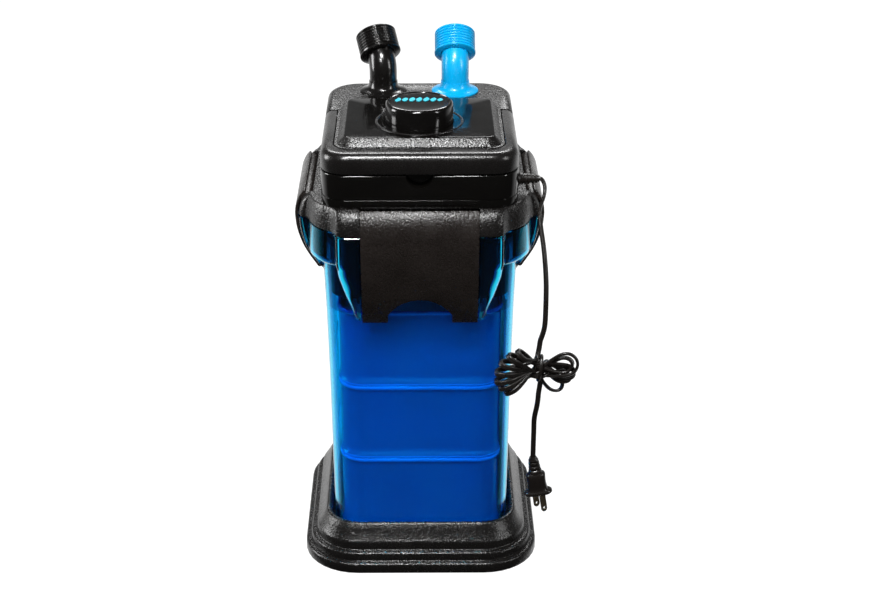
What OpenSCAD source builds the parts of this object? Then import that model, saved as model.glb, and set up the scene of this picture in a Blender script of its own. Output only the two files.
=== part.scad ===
// External canister filter with a lift-off pump head, in millimetres.
// Origin: centre of the base on the floor, +Z up, front towards -Y.

/* [Canister] */
// Half width of the canister where it leaves the base
body_low = 86.5; // [84:0.5:87]
// Half width of the canister at its mouth
body_top = 91; // [90:0.5:92]
// Height of the canister's rim
rim_z = 360; // [350:1:360]
// Wall thickness of the canister
body_wall = 3; // [2.5:0.5:3.5]

/* [Base] */
// Half width of the base stand
base_half = 116.5; // [114:0.5:118]
// Height of the base stand
base_h = 45; // [42:1:46]

/* [Baskets] */
// Height of one media basket with its gap
basket_pitch = 80; // [78:0.5:80]
// Half width of a basket
basket_half = 80; // [78:0.5:80]

/* [Head] */
// Half width of the upper block
block_half = 90.5; // [89:0.5:91]
// Height of the deck of the pump head
deck_z = 435; // [434:0.5:436]
// Height of the centre plate above the deck
plate_h = 7.5; // [6:0.5:8]
// Radius of the primer knob
knob_r = 31.5; // [30:0.5:31.5]
// Travel of the primer knob
knob_travel = 10; // [6:1:10]

/* [Taps] */
// Distance of each tap from the middle
tap_x = 35.5; // [35:0.5:36]
// Lean of the hose end from upright, in degrees
tap_lean = 46; // [44:1:47]
// Radius of the hose bore
hose_r = 9; // [8:0.5:9.5]

/* [Hidden] */
$fn = 64;
eps = 0.01;
arc_steps = 7;

// Heights
floor_z = 31;                                  // inside floor of the canister
basket_top = floor_z + 3 * basket_pitch;
housing_z = basket_top + 16;                   // underside of the lower housing
foot_z = 383.5;                                // foot of the upper block
undercut_z = 390;                              // the rear overhang starts here
ledge_z = 415;                                 // ledge under the carry handle
plate_z = deck_z + plate_h;
knob_z = plate_z + 19.5;

// Head outline
block_front = -100;
block_rear = 116;
shell_half = 100;
core_half = 78;
core_front = -81;
seam_y = 28;
tap_y = 85;
knob_y = -28;

// Collar, ears and latches
collar_half = 104;
collar_r = 44;
ear_reach = 113.5;
ear_low_z = [267, 306];                        // front and rear, left and right
ear_half = [77, 63];                           // front and rear, left and right
channel_half = 55;
latch_half = 54;
latch_y = 105;                                 // latch pivot, from the middle
latch_z = 376;
latch_r = 5.5;
latch_pin_r = 2.5;
groove_r = 9.4;
running = 0.05;                                // radial clearance of a running fit

// Carry handle
handle_low = 416;
handle_y = 21;
handle_pivot_z = 430;
handle_pin_r = 2.5;

// Pump
shaft_r = 1.5;
can_r = 13.5;
chamber_r = 23;
chamber_top = housing_z + 19;
can_top = housing_z + 53;

// Tap
tap_tube_r = 13.5;
tap_corner_z = 462.6;
nut_start = 11;
nut_h = 24;
nut_r = 20;

// Cord route, from the gland to the tie and from the tie to the plug
cord_r = 2.5;
tie_at = [112, -109, 224];
upper_route = [[111, -60, 397], [113, -60, 397], [116, -63, 391], [115, -68, 382],
    [111, -72, 370], [112, -79, 357], [115, -89, 336], [117, -97, 310],
    [117, -103, 285], [116, -107, 266], [112, -109, 253], [112, -109, 250]];
lower_route = [[112, -109, 198], [112, -109, 195], [111, -108, 184], [109, -106, 170],
    [109, -104, 155], [109, -103, 140], [109, -103, 125]];
hank_left = [80, -122];
hank_right = [142, -98];
hank_r = 9.5;
hank_low = 198;
hank_high = 250;
plug_at = [109, -103, 84];
gland_at = [block_half, -60, 397];

// ---------- shared shapes ----------

// Rectangle with rounded corners, anticlockwise, with its own front and back radii
function plan(x, y0, y1, rf, rb) =
    [for (c = [0:3], i = [0:arc_steps])
        let (a = 90 * c + 90 * i / arc_steps, r = c < 2 ? rb : rf,
             cx = (c == 0 || c == 3) ? x - r : r - x, cy = c < 2 ? y1 - r : y0 + r)
        [cx + r * cos(a), cy + r * sin(a)]];
function square_plan(h, r) = plan(h, -h, h, r, r);
function at_z(points, z) = [for (p = points) [p[0], p[1], z]];
function ring(h, r, z) = at_z(square_plan(h, r), z);

function middle(r) = [for (i = [1:len(r)]) 1] * r / len(r);

// Skin over rings of equal length; closed joins the last ring to the first
module skin(rings, closed = false) {
    n = len(rings[0]);
    m = len(rings);
    spans = closed ? m : m - 1;
    sides = [for (i = [0:spans - 1], j = [0:n - 1])
        let (k = (i + 1) % m, l = (j + 1) % n)
        each [[i * n + j, k * n + j, k * n + l], [i * n + j, k * n + l, i * n + l]]];
    ends = closed ? [] : [middle(rings[0]), middle(rings[m - 1])];
    caps = closed ? [] : [for (j = [0:n - 1])
        let (l = (j + 1) % n, k = (m - 1) * n) each [[j, l, m * n], [k + l, k + j, m * n + 1]]];
    polyhedron(points = concat([for (r = rings) each r], ends), faces = concat(sides, caps));
}

module slab(points, z0, z1) {
    translate([0, 0, z0]) linear_extrude(z1 - z0) polygon(points);
}

module ring_slab(outer, inner, z0, z1) {
    translate([0, 0, z0]) linear_extrude(z1 - z0) difference() {
        polygon(outer);
        polygon(inner);
    }
}

function unit(v) = v / norm(v);
function along(p, i) = unit(p[min(i + 1, len(p) - 1)] - p[max(i - 1, 0)]);

// Rings of radius r round the points of a route; ref is never parallel to the route
function rings_on(p, r, sides, ref) = [for (i = [0:len(p) - 1])
    let (t = along(p, i), u = unit(cross(ref, t)), v = cross(t, u))
    [for (j = [0:sides - 1]) let (a = 360 * j / sides) p[i] + r * (cos(a) * u + sin(a) * v)]];

// Catmull-Rom curve through hand-placed points
function curve_at(a, b, c, d, t) = 0.5 * (2 * b + (c - a) * t
    + (2 * a - 5 * b + 4 * c - d) * t * t + (3 * b - a - 3 * c + d) * t * t * t);
function curve(p, n) = [for (i = [0:len(p) - 2], k = [0:n - 1])
    curve_at(p[max(i - 1, 0)], p[i], p[i + 1], p[min(i + 2, len(p) - 1)], k / n),
    p[len(p) - 1]];

module tube(p, r_out, r_in, ref) {
    outer = rings_on(p, r_out, 12, ref);
    inner = rings_on(p, r_in, 12, ref);
    n = len(p) - 1;
    skin(concat(outer, [for (i = [n:-1:0]) inner[i]]), closed = true);
}

// ---------- base and canister ----------

module base_stand() {
    b = base_half;
    pocket = body_low + 2;
    color("#1b1b1d") skin([
        ring(pocket + 2, 30, 0), ring(pocket + 4, 32, 3), ring(pocket + 4, 32, base_h - 8),
        ring(b - 15, 40, 26), ring(b - 15, 40, 17.5), ring(b - 9, 46, 16.5),
        ring(b - 9, 46, 8.5), ring(b - 3, 51, 8), ring(b - 3, 51, 0),
        ring(b, 54, 0), ring(b - 0.5, 54, 11), ring(b - 5.5, 49, 11.5), ring(b - 6, 48, 20),
        ring(b - 11.5, 43, 20.5), ring(b - 12, 42, 30), ring(b - 22, 34, base_h),
        ring(b - 24, 33, base_h), ring(pocket, 30, base_h - 4), ring(pocket, 30, 4)]);
}

function body_half(z) = lookup(z, [[4, body_low - 1], [base_h, body_low],
    [190, body_low + 1.5], [265, body_low + 3], [312, body_top], [rim_z, body_top]]);

// Reach of an ear from the middle at height z. Kind 0 is at the front and rear, kind 1 at
// the left and right, where the ears are shorter.
function reach(z, kind) = let (low = ear_low_z[kind])
    z < low ? 0 : body_top + (ear_reach - body_top)
        * pow(max(0, 1 - pow((rim_z - z) / (rim_z - low), 2)), kind == 0 ? 0.5 : 0.9);
function ear_half_at(z, kind) = lookup(z, kind == 0
    ? [[267, 58], [293, 68], [317, 75], [331, ear_half[0]]]
    : [[306, 58], [313, 60], [322, 62], [331, ear_half[1]]]);
function ear_round_at(z, kind) = lookup(z,
    [[ear_low_z[kind], 2.4], [ear_low_z[kind] + 18, kind == 0 ? 8 : 6]]);
function collar_at(z) = lookup(z, [[322, body_half(z)], [325, 99], [329, collar_half]]);

// Outline of the canister at height z: four walls, with two ears at every corner of the
// outside. The inside is drawn in by the wall and has none, but as many points.
function half_wall(z, inset, kind, w, e, c, h) =
    let (q = inset > 0 ? 1.4 : ear_round_at(z, kind), d = q * max(0, min(1, (e - c) / 14)))
    concat([[w, latch_half + 0.6], [e, latch_half + 1.4]],
        [for (i = [0:4]) let (a = 22.5 * i) [e - d * (1 - cos(a)), h - q * (1 - sin(a))]]);
function canister_plan(z, inset) =
    let (w = body_half(z) - inset, outer = inset == 0,
         e = [for (k = [0, 1]) outer ? max(reach(z, k), w) : w],
         c = outer ? collar_at(z) : w, r = outer && z > 323 ? collar_r : 30 - inset,
         h = [for (k = [0, 1]) outer ? ear_half_at(z, k) : max(w - r, 57)],
         a0 = [for (k = [0, 1]) asin(max(0, (h[k] - c + r) / r))],
         walls = [for (k = [0, 1]) half_wall(z, inset, k, w, e[k], c, h[k])])
    [for (k = [0:3], p = let (f = (k + 1) % 2, g = k % 2) concat(walls[f],
            [for (i = [0:6]) let (a = a0[f] + (90 - a0[g] - a0[f]) * (i + 0.5) / 7)
                [c - r + r * cos(a), c - r + r * sin(a)]],
            [for (i = [len(walls[g]) - 1:-1:0]) [walls[g][i][1], walls[g][i][0]]]))
        [p[0] * cos(90 * k) - p[1] * sin(90 * k), p[0] * sin(90 * k) + p[1] * cos(90 * k)]];

module canister_body() {
    top = rim_z - 0.4;
    low = 4;
    outer = [low, base_h, 120, 190, 228, 265, 267, 268, 271, 277, 285, 295, 306, 308, 312, 317,
        322, 325, 329, 342, top];
    inner = [top, 312, 265, 190, 120, base_h, floor_z];
    color("#0a78c8", 0.45) skin(concat(
        [for (z = [floor_z - body_wall, low]) at_z(canister_plan(z, body_wall), z)],
        [for (z = outer) at_z(canister_plan(z, 0), z)],
        [for (z = inner) at_z(canister_plan(z, body_wall), z)]));
}

module bypass_duct() {
    x0 = 80.8;
    color("#062a5c") {
        translate([x0, -62, floor_z + 8]) cube([1.2, 42, basket_top - floor_z - 4]);
        for (y = [-62, -21.2]) translate([x0, y, floor_z + 8])
            cube([2.1, 1.2, basket_top - floor_z - 4]);
    }
}

// ---------- baskets and media ----------

module basket(k) {
    z0 = floor_z + k * basket_pitch + 0.3;
    z1 = floor_z + (k + 1) * basket_pitch;
    h = basket_half;
    color("#0a3fae") difference() {
        union() {
            slab(square_plan(h - 0.6, 25), z0, z1);
            slab(square_plan(h, 25.6), z1 - 3, z1);
            slab(square_plan(h, 25.6), z0, z0 + 2);
        }
        slab(square_plan(h - 3, 22.6), z0 + 2.2, z1 + 1);
        for (i = [-4:4], j = [-2:2]) translate([i * 14 - 3, j * 26 - 9, z0 - 1])
            cube([6, 18, 5]);
    }
}

module lower_basket() basket(0);
module middle_basket() basket(1);
module upper_basket() basket(2);

module coarse_foam() {
    color("#14202c") slab(square_plan(basket_half - 3.4, 22), floor_z + 2.6, floor_z + 70);
}

module ceramic_rings() {
    z = floor_z + basket_pitch + 2.6;
    color("#e8e2d4") for (i = [-2.5:2.5], j = [-2.5:2.5])
        translate([i * 25, j * 25, z]) difference() {
            cylinder(h = 60, r = 11);
            translate([0, 0, -1]) cylinder(h = 62, r = 6);
        }
}

module carbon_pouch() {
    z = floor_z + 2 * basket_pitch + 2.6;
    color("#2a2a2c") slab(square_plan(basket_half - 6, 24), z, z + 44);
}

module polishing_pad() {
    z = floor_z + 2 * basket_pitch + 48;
    color("#f0f0ec") slab(square_plan(basket_half - 3.4, 22), z, z + 24);
}

// ---------- pump head ----------

module lower_housing() {
    h = 84.5;
    color("#141416") difference() {
        union() {
            ring_slab(square_plan(h, 24), square_plan(h - 3, 21), housing_z, rim_z + 1);
            ring_slab(square_plan(92.5, 34), square_plan(h - 3, 21), rim_z + 0.6, rim_z + 4);
            slab(square_plan(h - 1, 23), housing_z, housing_z + 3);
            translate([0, 0, housing_z]) cylinder(h = 22, r = chamber_r + 3);
            translate([0, 0, housing_z]) cylinder(h = 56, r = can_r + 2);
        }
        translate([0, 0, housing_z - 1]) cylinder(h = 20, r = chamber_r);
        translate([0, 0, housing_z]) cylinder(h = 53, r = can_r);
        translate([0, 0, housing_z + 11.5]) rotate(120.6) rotate([0, 90, 0])
            cylinder(h = 40, r = 6.5);
        for (a = [0:120:240]) rotate(a + 30) translate([29, 0, housing_z - 1])
            cylinder(h = 9, r = 1.6);
        translate([71, -42, housing_z - 1]) cylinder(h = 9, r = 8);
    }
}

// Outline of the shoulder: rounded square of half width c with a bump of reach e on each
// side. h holds the half widths of the bumps at front and rear, and at left and right.
function shoulder_plan(c, r, e, h) = [for (q = [0:3], p =
        let (f = h[(q + 1) % 2], g = h[q % 2], rise = min(1, (e - c) / 14),
             a0 = asin(max(0, (f - c + r) / r)), a1 = asin(max(0, (g - c + r) / r)))
        concat([for (i = [1:3]) [e, -f + 2 * f * i / 4]],
        [for (i = [0:3]) let (a = 30 * i) [e - 10 * (1 - cos(a)) * rise, f - 10 * (1 - sin(a))]],
        [for (i = [1:5]) let (a = a0 + (90 - a0 - a1) * i / 6)
            [c - r + r * cos(a), c - r + r * sin(a)]],
        [for (i = [3:-1:0]) let (a = 30 * i) [g - 10 * (1 - sin(a)),
            e - 10 * (1 - cos(a)) * rise]]))
    [p[0] * cos(90 * q) - p[1] * sin(90 * q), p[0] * sin(90 * q) + p[1] * cos(90 * q)]];

function shoulder(a) = let (t = 1 - cos(a))
    at_z(shoulder_plan(collar_half - (collar_half - shell_half + 0.5) * t,
        collar_r - 6 * t, ear_reach - (ear_reach - shell_half) * t, ear_half),
        rim_z + (foot_z - rim_z) * sin(a));
function inner_square(h, z) = at_z(shoulder_plan(h - 0.02, 34, h, [70, 70]), z);

module head_shell() {
    color("#19191b") difference() {
        skin(concat([for (a = [0:10:80]) shoulder(a)], [shoulder(90)],
            [inner_square(86, foot_z), inner_square(86, foot_z - 3),
             inner_square(93.5, foot_z - 3.5), inner_square(93.5, rim_z)]), closed = true);
        for (q = [0:3]) rotate(90 * q) translate([0, -latch_y, latch_z]) rotate([0, 90, 0]) {
            cylinder(h = 2 * channel_half, r = groove_r, center = true);
            cylinder(h = 2 * channel_half + 10, r = latch_pin_r, center = true);
        }
    }
}

block_plan = plan(block_half, block_front, block_rear, 25, 32);
foot_plan = plan(block_half, block_front, 100, 25, 32);
core_plan = plan(core_half, core_front, 60, 13, 13);

module rear_of(y) {
    intersection() {
        children();
        translate([-200, y]) square([400, 200]);
    }
}

module tap_places() {
    for (s = [-1, 1]) translate([s * tap_x, tap_y, 0]) children();
}

module motor_housing() {
    w = 3;
    color("#101012") difference() {
        union() {
            difference() {
                union() {
                    slab(foot_plan, foot_z, undercut_z);
                    slab(block_plan, undercut_z, ledge_z);
                    translate([0, 0, ledge_z]) linear_extrude(deck_z - ledge_z) union() {
                        polygon(core_plan);
                        rear_of(seam_y) polygon(block_plan);
                    }
                }
                slab(plan(block_half - w, block_front + w, 100 - w, 22, 29),
                    foot_z - 1, undercut_z + w);
                slab(plan(block_half - w, block_front + w, block_rear - w, 22, 29),
                    undercut_z + w, ledge_z - w);
                slab(plan(core_half - w, core_front + w, 112, 10, 10), ledge_z - w - 1, deck_z - 4);
            }
            translate([-16, block_front + 1, 398]) cube([32, 14, 15]);
            tap_places() translate([0, 0, 411]) cylinder(h = 22, r = 17);
        }
        translate([0, block_front - 1, ledge_z + eps]) rotate([-90, 0, 0])
            cylinder(h = 11, r = 12.3);
        tap_places() translate([0, 0, 405]) cylinder(h = 40, r = 13.8);
        translate([0, knob_y, 405]) cylinder(h = 40, r = knob_r + 2.7);
        translate([block_half - 8, gland_at[1], gland_at[2]]) rotate([0, 90, 0])
            cylinder(h = 12, r = 5);
        for (s = [-1, 1]) translate([s * 77, handle_y, handle_pivot_z]) rotate([0, 90, 0])
            cylinder(h = 9, r = handle_pin_r, center = true);
    }
}

module top_plate() {
    x = 75.3;
    color("#1d1d1f") difference() {
        skin([at_z(plan(x, -80, 46, 14, 14), deck_z),
            at_z(plan(x - 6.5, -73.5, 39.5, 8, 8), plate_z)]);
        translate([0, knob_y, plate_z - 1.5]) cylinder(h = 5, r = 40);
        translate([0, knob_y, deck_z - 1]) cylinder(h = 20, r = knob_r + 0.7);
    }
}

module seal_gasket() {
    color("#303034") ring_slab(square_plan(87.4, 26.9), square_plan(84.5, 24), 338, 344);
}

module stator_core() {
    color("#7d7f84") difference() {
        translate([-34, -22, housing_z + 26]) cube([68, 44, 22]);
        translate([0, 0, housing_z]) cylinder(h = 80, r = can_r + 2.2);
    }
}

module stator_coils() {
    color("#b06a2c") for (s = [-1, 1]) translate([s * 26, 0, housing_z + 49]) difference() {
        translate([-8, -20, -1]) cube([16, 40, 8]);
        translate([-3, -14, -2]) cube([6, 28, 10]);
    }
}

module impeller_shaft() {
    color("#f4f4f0") translate([0, 0, housing_z - 2]) cylinder(h = 54, r = shaft_r);
}

module shaft_bushes() {
    color("#3a3a3c") for (z = [housing_z - 2, can_top - 5]) translate([0, 0, z]) difference() {
        cylinder(h = 4, r = z < can_top - 6 ? 4 : can_r);
        translate([0, 0, -1]) cylinder(h = 6, r = shaft_r);
    }
}

module impeller_cover() {
    z = housing_z - 3;
    color("#202022") difference() {
        translate([0, 0, z]) cylinder(h = 3, r = 33);
        translate([0, 0, z - 1]) difference() {
            cylinder(h = 5, r = 13);
            cylinder(h = 5, r = 7);
            for (a = [0:120:240]) rotate(a) translate([0, -1.5, 0]) cube([20, 3, 5]);
        }
        translate([0, 0, z + 1]) cylinder(h = 5, r = 4);
        for (a = [0:120:240]) rotate(a + 30) translate([29, 0, z - 1])
            cylinder(h = 9, r = 1.6);
    }
}

module cover_screws() {
    color("#c8c8cc") for (a = [0:120:240]) rotate(a + 30) translate([29, 0, housing_z - 5]) {
        cylinder(h = 2, r = 3.2);
        translate([0, 0, 1]) cylinder(h = 9, r = 1.6);
    }
}

module outlet_duct() {
    a = 120.6;
    z = housing_z + 11.5;
    start = [26.1 * cos(a), 26.1 * sin(a), z];
    color("#26262a") tube(curve([start, start + 12 * [cos(a), sin(a), 0],
        [-32, 54, z + 4], [-35.5, 62, z + 20], [-35.5, 64, 350], [-35.5, 66, 372],
        [-35.5, 80, 394], [-35.5, 85, 410.8]], 3), 8, 6.5, [1, 0.2, 0.1]);
}

module intake_duct() {
    color("#26262a") tube(curve([[71, -42, housing_z + 3.2], [71, -42, 315], [66, -20, 340],
        [52, 30, 358], [38, 58, 374], [35.5, 80, 394], [35.5, 85, 410.8]], 4),
        9, 7.5, [1, 0.2, 0.1]);
}

module latch_pins() {
    color("#b8babd") for (q = [0:3]) rotate(90 * q) translate([0, -latch_y, latch_z])
        rotate([0, 90, 0]) cylinder(h = 2 * channel_half + 10, r = latch_pin_r, center = true);
}

module handle_pins() {
    color("#b8babd") for (s = [-1, 1]) translate([s * 81, handle_y, handle_pivot_z])
        rotate([0, 90, 0]) cylinder(h = 14, r = handle_pin_r, center = true);
}

module carry_handle() {
    color("#222224") difference() {
        translate([0, 0, handle_low]) linear_extrude(deck_z - handle_low) difference() {
            polygon(block_plan);
            polygon(plan(core_half + 0.5, core_front - 0.6, 80, 13.5, 10));
            translate([-200, seam_y - 3]) square([400, 200]);
        }
        for (s = [-1, 1]) translate([s * 80, handle_y, handle_pivot_z]) rotate([0, 90, 0])
            cylinder(h = 17, r = handle_pin_r + running, center = true);
    }
}

// ---------- primer ----------

module primer_barrel() {
    r = knob_r + 0.5;
    color("#1a1a1c") translate([0, knob_y, 405]) difference() {
        cylinder(h = deck_z - 405, r = r + 2.2);
        translate([0, 0, 3]) cylinder(h = 60, r = r);
        translate([18, 0, -1]) cylinder(h = 6, r = 3);
    }
}

module primer_spring() {
    turns = 5;
    steps = 14;
    h = 21.6 - 2;
    pts = [for (i = [0:turns * steps]) let (a = 360 * i / steps)
        [12 * cos(a), knob_y + 12 * sin(a), 409.2 + h * i / (turns * steps)]];
    color("#c8c8cc") skin(rings_on(pts, 0.9, 6, [0.01, 0.02, 1]));
}

module primer_knob() {
    color("#17171a") translate([0, knob_y, 0]) difference() {
        translate([0, 0, 434]) cylinder(h = knob_z - 434, r = knob_r);
        translate([0, 0, 433]) cylinder(h = knob_z - 437, r = knob_r - 2.5);
        translate([0, 0, knob_z - 1]) cylinder(h = 5, r = knob_r - 4);
    }
}

module primer_badge() {
    color("#1fb6d8") translate([0, knob_y, knob_z - 1]) cylinder(h = 1, r = knob_r - 4);
}

module primer_piston() {
    color("#303034") translate([0, knob_y, 430]) cylinder(h = 4, r = knob_r + 0.2);
}

// ---------- taps and nuts ----------

module at_tap(side, spin) {
    translate([side * tap_x, tap_y, 0]) rotate(spin) children();
}

// The children stand on the leaning hose axis, from the corner of the bend
module hose_end() {
    translate([0, 0, tap_corner_z]) rotate([-tap_lean, 0, 0]) children();
}

// Both legs of the bent tube with radius r, from z = low up to s along the hose axis, and
// the ball that rounds their corner
module elbow(r, low, s) {
    translate([0, 0, low]) cylinder(h = tap_corner_z - low, r = r);
    translate([0, 0, tap_corner_z]) sphere(r = r + 0.4);
    hose_end() cylinder(h = s, r = r);
}

module tap(side, spin, tint) {
    low = 412;
    color(tint) at_tap(side, spin) difference() {
        union() {
            translate([0, 0, low]) cylinder(h = deck_z - low + 1, r = tap_tube_r - 0.4);
            translate([0, 0, deck_z]) cylinder(h = 2.5, r = 23);
            elbow(tap_tube_r, deck_z + 1, nut_start + nut_h - 6);
        }
        elbow(hose_r, low - 1, nut_start + nut_h);
        translate([0, 0, 419.4]) rotate_extrude() translate([tap_tube_r - 1.4, 0])
            square([3, 3.2]);
    }
}

module left_tap() tap(-1, 18, "#131315");
module right_tap() tap(1, 0, "#1a9be0");

module tap_seal(side) {
    color("#3a3a3e") at_tap(side, 0) translate([0, 0, 419.6]) difference() {
        cylinder(h = 2.8, r = tap_tube_r + 0.1);
        translate([0, 0, -1]) cylinder(h = 5, r = tap_tube_r - 1.4);
    }
}

module left_seal() tap_seal(-1);
module right_seal() tap_seal(1);

module hose_nut(side, spin, tint) {
    ribs = 10;
    p = nut_h / ribs;
    outline = concat([[tap_tube_r + running, 0]],
        [for (i = [0:ribs - 1]) each [[nut_r - 1.1, i * p], [nut_r, (i + 0.3) * p],
            [nut_r, (i + 0.7) * p]]],
        [[nut_r - 1.1, nut_h], [tap_tube_r + running, nut_h]]);
    color(tint) at_tap(side, spin) hose_end() translate([0, 0, nut_start])
        rotate_extrude() polygon(outline);
}

module left_nut() hose_nut(-1, 18, "#131315");
module right_nut() hose_nut(1, 0, "#1a9be0");

// ---------- impeller ----------

module rotor_magnet() {
    color("#4a4a50") difference() {
        translate([0, 0, chamber_top + 0.5]) cylinder(h = 27, r = 12);
        cylinder(h = 500, r = shaft_r + running);
    }
}

module impeller_vanes() {
    z = housing_z + 4;
    color("#e6e6e0") difference() {
        union() {
            translate([0, 0, z]) cylinder(h = chamber_top + 0.5 - z, r = 6);
            translate([0, 0, z + 11]) cylinder(h = 1.6, r = 20);
            for (a = [0:60:300]) rotate(a) translate([4, -0.8, z]) cube([16, 1.6, 12]);
        }
        cylinder(h = 500, r = shaft_r + running);
    }
}

// ---------- latches ----------

// Outer face of a latch: height and distance from the middle, below the shoulder
latch_face = [
    [[267, 96.5], [275, 100.5], [284, 104.2], [296, 108], [308, 111], [325, 114.2], [343, 116.3]],
    [[306, 96.5], [310, 99], [316, 103], [323, 107.2], [331, 111], [341, 114.3], [350, 116.2]]];
function over(a, gap) = let (p = ear_reach - shell_half, q = foot_z - rim_z,
        n = unit([cos(a) / p, sin(a) / q]))
    [ear_reach - p * (1 - cos(a)) + gap * n[0], rim_z + q * sin(a) + gap * n[1]];

module latch(q) {
    kind = q % 2;
    face = latch_face[kind];
    up = [0, 15, 30, 45, 56, 66];
    outer = concat([for (f = face) [f[1], f[0]]], [for (a = up) over(a, 3.5)]);
    inner = concat([for (i = [5:-1:0]) over(up[i], 0.5)],
        [for (i = [6:-1:0]) [face[i][1] - 3.1, face[i][0]]]);
    color("#1a1a1c") rotate(90 * q) difference() {
        rotate([90, 0, -90]) translate([0, 0, -latch_half]) union() {
            linear_extrude(2 * latch_half) polygon(concat(outer, inner));
            translate([latch_y, latch_z, 0]) cylinder(h = 2 * latch_half, r = latch_r);
        }
        translate([0, -latch_y, latch_z]) rotate([0, 90, 0])
            cylinder(h = 3 * latch_half, r = latch_pin_r + running, center = true);
        if (kind == 0) translate([0, -90, ear_low_z[0] - 5]) rotate([90, 0, 0]) intersection() {
            cylinder(h = 50, r = 33.2);
            translate([-30, 0, 0]) cube([60, 60, 50]);
        }
    }
}

module front_latch() latch(0);
module right_latch() latch(1);
module rear_latch() latch(2);
module left_latch() latch(3);

// ---------- cord ----------

module cord_gland() {
    color("#0e0e10") translate(gland_at) rotate([0, 90, 0]) {
        translate([0, 0, -5]) cylinder(h = 5.5, r = 5);
        cylinder(h = 2, r = 7);
        translate([0, 0, 1.9]) cylinder(h = 18.6, r1 = 5, r2 = 3.4);
    }
}

module cord_upper() {
    color("#0c0c0e") skin(rings_on(curve(upper_route, 3), cord_r, 8, [0.3, 1, 0.1]));
}

module cord_lower() {
    color("#0c0c0e") skin(rings_on(curve(lower_route, 3), cord_r, 8, [0.3, 1, 0.1]));
}

// Outline of radius r round the line from a by way of m to b, with round ends
function hank_plan(a, m, b, r) =
    let (p = unit(m - a), q = unit(b - m), fp = atan2(p[1], p[0]), fq = atan2(q[1], q[0]),
         n = [-p[1] - q[1], p[0] + q[0]], k = 2 * r / (n * n))
    concat([for (i = [0:8]) a + r * [cos(fp + 90 + 22.5 * i), sin(fp + 90 + 22.5 * i)]],
        [m - k * n],
        [for (i = [0:8]) b + r * [cos(fq - 90 + 22.5 * i), sin(fq - 90 + 22.5 * i)]],
        [m + k * n]);

module cord_hank() {
    color("#0c0c0e") slab(hank_plan(hank_left, [tie_at[0], tie_at[1]], hank_right, hank_r),
        hank_low, hank_high);
}

module cord_tie() {
    d = hank_left - [tie_at[0], tie_at[1]];
    h = hank_high - hank_low;
    color("#0c0c0e") translate([tie_at[0], tie_at[1], hank_low]) rotate(atan2(d[1], d[0]))
        difference() {
            translate([7, -hank_r - 1.5, -1.5]) cube([5, 2 * hank_r + 3, h + 3]);
            translate([5, -hank_r, 0]) cube([9, 2 * hank_r, h]);
        }
}

module plug_body() {
    color("#0c0c0e") translate(plug_at) {
        translate([0, 0, 22]) cylinder(h = 19, r1 = 5, r2 = 3.6);
        linear_extrude(22.5) polygon(plan(10, -6.5, 6.5, 4, 4));
        linear_extrude(4) polygon(plan(14, -8, 8, 5, 5));
    }
}

module plug_blades() {
    color("#c9a24a") for (s = [-1, 1]) translate(plug_at + [s * 6.35 - 0.75, -3.15, -18])
        cube([1.5, 6.3, 18]);
}

base_stand();
canister_body();
bypass_duct();
lower_basket();
middle_basket();
upper_basket();
coarse_foam();
ceramic_rings();
carbon_pouch();
polishing_pad();
lower_housing();
head_shell();
motor_housing();
top_plate();
seal_gasket();
stator_core();
stator_coils();
impeller_shaft();
shaft_bushes();
impeller_cover();
cover_screws();
outlet_duct();
intake_duct();
latch_pins();
handle_pins();
carry_handle();
primer_barrel();
primer_spring();
primer_knob();
primer_badge();
primer_piston();
left_tap();
right_tap();
left_seal();
right_seal();
left_nut();
right_nut();
rotor_magnet();
impeller_vanes();
front_latch();
rear_latch();
left_latch();
right_latch();
cord_gland();
cord_upper();
cord_hank();
cord_tie();
cord_lower();
plug_body();
plug_blades();
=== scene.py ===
import math

import bmesh
import bpy
import numpy as np
from mathutils import Matrix, Vector


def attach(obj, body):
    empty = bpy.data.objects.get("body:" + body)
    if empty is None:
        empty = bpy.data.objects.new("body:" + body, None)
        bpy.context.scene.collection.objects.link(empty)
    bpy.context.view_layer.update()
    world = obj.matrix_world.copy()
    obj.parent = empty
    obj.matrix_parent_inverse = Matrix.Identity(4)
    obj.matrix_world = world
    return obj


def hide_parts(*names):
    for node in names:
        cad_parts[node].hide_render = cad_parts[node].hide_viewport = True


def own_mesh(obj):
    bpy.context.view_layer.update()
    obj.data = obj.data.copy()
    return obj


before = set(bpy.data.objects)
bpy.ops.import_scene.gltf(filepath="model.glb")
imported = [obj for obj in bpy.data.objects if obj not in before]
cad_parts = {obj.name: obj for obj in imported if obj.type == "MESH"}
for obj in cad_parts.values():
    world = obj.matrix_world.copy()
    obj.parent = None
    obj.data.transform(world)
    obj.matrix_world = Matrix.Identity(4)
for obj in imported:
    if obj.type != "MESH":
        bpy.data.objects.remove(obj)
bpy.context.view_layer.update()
MM = 0.001

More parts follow.
